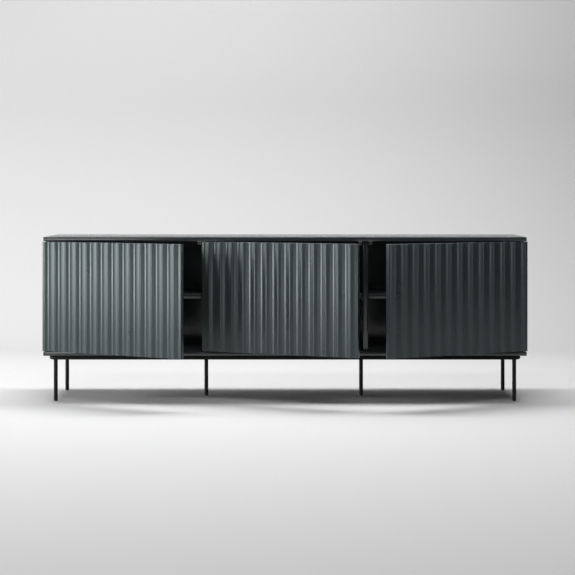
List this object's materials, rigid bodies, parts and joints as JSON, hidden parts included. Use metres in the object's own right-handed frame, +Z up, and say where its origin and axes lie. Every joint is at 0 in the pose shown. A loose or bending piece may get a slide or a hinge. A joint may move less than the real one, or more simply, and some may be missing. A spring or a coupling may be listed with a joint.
{
  "type": "sideboard buffet",
  "caption": "Low, wide sideboard with fluted swing doors, a shelf behind each door and a slim tubular steel stand.",
  "frame": {"origin": "on the floor, under the middle of the carcass", "axes": "+X to the viewer's right, along the width; -Y to the front, where the doors are; +Z up"},
  "size_m": [2.2098, 0.6928, 0.75],
  "materials": {
    "carcass_lacquer": "satin dark blue-grey lacquer on board",
    "door_lacquer": "satin dark blue-grey lacquer on fluted board",
    "zinc_steel": "bright zinc plate",
    "pivot_steel": "turned steel",
    "nickel_casting": "satin nickel plate",
    "black_nylon": "moulded nylon",
    "spring_steel": "drawn spring wire",
    "beech": "grooved beech",
    "black_screw": "black oxide",
    "brass_bush": "turned brass",
    "stand_powder_coat": "fine-textured black powder coat",
    "glide_plastic": "moulded plastic"
  },
  "bodies": {
    "cabinet": {"top_panel": "carcass_lacquer", "bottom_panel": "carcass_lacquer", "left_side_panel": "carcass_lacquer", "right_side_panel": "carcass_lacquer", "left_partition": "carcass_lacquer", "right_partition": "carcass_lacquer", "back_panel": "carcass_lacquer", "back_panel_screws": "zinc_steel", "top_dowels": "beech", "bottom_dowels": "beech", "left_shelf": "carcass_lacquer", "centre_shelf": "carcass_lacquer", "right_shelf": "carcass_lacquer", "left_shelf_supports": "nickel_casting", "centre_shelf_supports": "nickel_casting", "right_shelf_supports": "nickel_casting", "left_latch_housing": "nickel_casting", "centre_latch_housing": "nickel_casting", "right_latch_housing": "nickel_casting", "left_latch_spring": "spring_steel", "centre_latch_spring": "spring_steel", "right_latch_spring": "spring_steel", "latch_screws": "zinc_steel", "lower_pivot_bushes": "brass_bush", "upper_pivot_bushes": "brass_bush", "front_rail": "stand_powder_coat", "rear_rail": "stand_powder_coat", "left_end_rail": "stand_powder_coat", "right_end_rail": "stand_powder_coat", "left_cross_rail": "stand_powder_coat", "right_cross_rail": "stand_powder_coat", "front_left_leg": "stand_powder_coat", "front_right_leg": "stand_powder_coat", "rear_left_leg": "stand_powder_coat", "rear_right_leg": "stand_powder_coat", "middle_left_leg": "stand_powder_coat", "middle_right_leg": "stand_powder_coat", "leg_glides": "glide_plastic", "mounting_pads": "stand_powder_coat", "mounting_screws": "black_screw"},
    "left_door": {"left_door": "door_lacquer", "left_strike_plate": "zinc_steel", "left_door_lower_pivot": "pivot_steel", "left_door_upper_pivot": "pivot_steel"},
    "left_latch_plunger": {"left_latch_plunger": "black_nylon"},
    "centre_door": {"centre_door": "door_lacquer", "centre_strike_plate": "zinc_steel", "centre_door_lower_pivot": "pivot_steel", "centre_door_upper_pivot": "pivot_steel"},
    "centre_latch_plunger": {"centre_latch_plunger": "black_nylon"},
    "right_door": {"right_door": "door_lacquer", "right_strike_plate": "zinc_steel", "right_door_lower_pivot": "pivot_steel", "right_door_upper_pivot": "pivot_steel"},
    "right_latch_plunger": {"right_latch_plunger": "black_nylon"}
  },
  "joints": [
    {"name": "left_door_hinge", "type": "hinge", "parent": "cabinet", "child": "left_door", "pos_m": [-1.092, -0.183, 0.48], "axis": [0, 0, -1], "range_deg": [-24.9, 70.1]},
    {"name": "centre_door_hinge", "type": "hinge", "parent": "cabinet", "child": "centre_door", "pos_m": [-0.3655, -0.183, 0.48], "axis": [0, 0, -1], "range_deg": [-21.5, 73.5]},
    {"name": "right_door_hinge", "type": "hinge", "parent": "cabinet", "child": "right_door", "pos_m": [1.092, -0.183, 0.48], "axis": [0, 0, 1], "range_deg": [-24.6, 70.4]},
    {"name": "left_latch_press", "type": "slide", "parent": "cabinet", "child": "left_latch_plunger", "axis": [0, 1, 0], "range_m": [0, 0.004], "stiffness_N_per_m": 300, "springref_m": -0.002, "deforming": ["left_latch_spring"]},
    {"name": "centre_latch_press", "type": "slide", "parent": "cabinet", "child": "centre_latch_plunger", "axis": [0, 1, 0], "range_m": [0, 0.004], "stiffness_N_per_m": 300, "springref_m": -0.002, "deforming": ["centre_latch_spring"]},
    {"name": "right_latch_press", "type": "slide", "parent": "cabinet", "child": "right_latch_plunger", "axis": [0, 1, 0], "range_m": [0, 0.004], "stiffness_N_per_m": 300, "springref_m": -0.002, "deforming": ["right_latch_spring"]}
  ]
}
